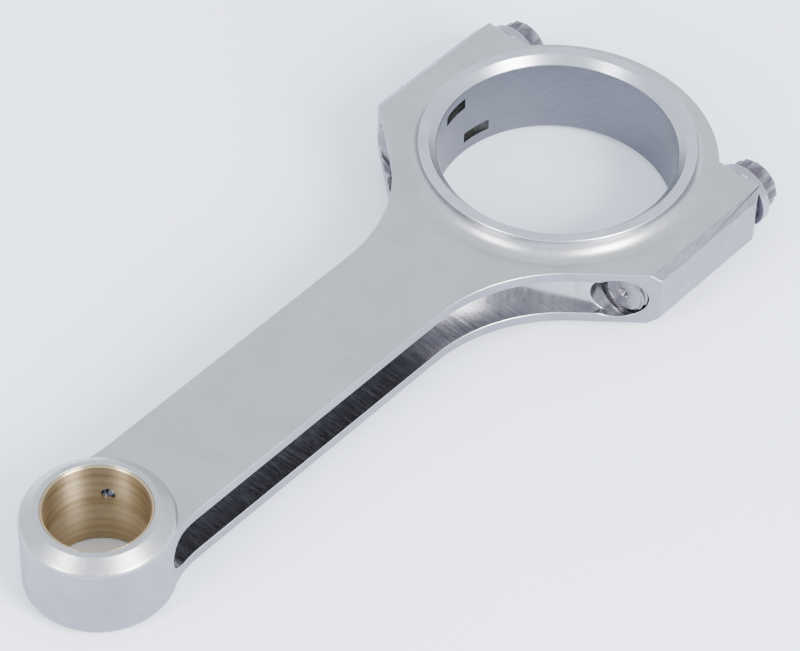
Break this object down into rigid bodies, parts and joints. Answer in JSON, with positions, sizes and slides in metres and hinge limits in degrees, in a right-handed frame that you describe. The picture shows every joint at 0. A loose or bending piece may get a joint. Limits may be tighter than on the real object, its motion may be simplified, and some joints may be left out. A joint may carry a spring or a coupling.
{
  "type": "connecting rod",
  "caption": "Steel H-beam connecting rod with a bronze-bushed small end and a split big end whose cap is held by two 12-point bolts.",
  "frame": {"origin": "under the middle of the rod's outer box, on the surface that the rod lies on", "axes": "+Y along the rod from the small end to the big end, +Z along the bore axes, +X across the rod"},
  "size_m": [0.0866, 0.2074, 0.0239],
  "materials": {
    "machined_steel": "shot-peened and machined",
    "bolt_steel": "dark heat-treated, ground",
    "dowel_steel": "ground",
    "bronze": "bored bronze"
  },
  "bodies": {
    "rod": {"rod_body": "machined_steel", "small_end_bush": "bronze"},
    "cap": {"bearing_cap": "machined_steel", "dowel_sleeve_left": "dowel_steel", "dowel_sleeve_right": "dowel_steel"},
    "bolt_left": {"cap_bolt_left": "bolt_steel"},
    "bolt_right": {"cap_bolt_right": "bolt_steel"}
  },
  "joints": [
    {"name": "cap_slide", "type": "slide", "parent": "rod", "child": "cap", "axis": [0, 1, 0], "range_m": [0, 0.01397]},
    {"name": "bolt_left_turn", "type": "hinge", "parent": "cap", "child": "bolt_left", "pos_m": [-0.0354, 0.08974, 0.01195], "axis": [0, 1, 0], "range_deg": [0, 3960]},
    {"name": "bolt_right_turn", "type": "hinge", "parent": "cap", "child": "bolt_right", "pos_m": [0.0354, 0.08974, 0.01195], "axis": [0, 1, 0], "range_deg": [0, 3960]}
  ],
  "couplings": [
    {"joint": "bolt_left_turn", "follows": "cap_slide", "rad_per_m": 4947.4},
    {"joint": "bolt_right_turn", "follows": "cap_slide", "rad_per_m": 4947.4}
  ]
}
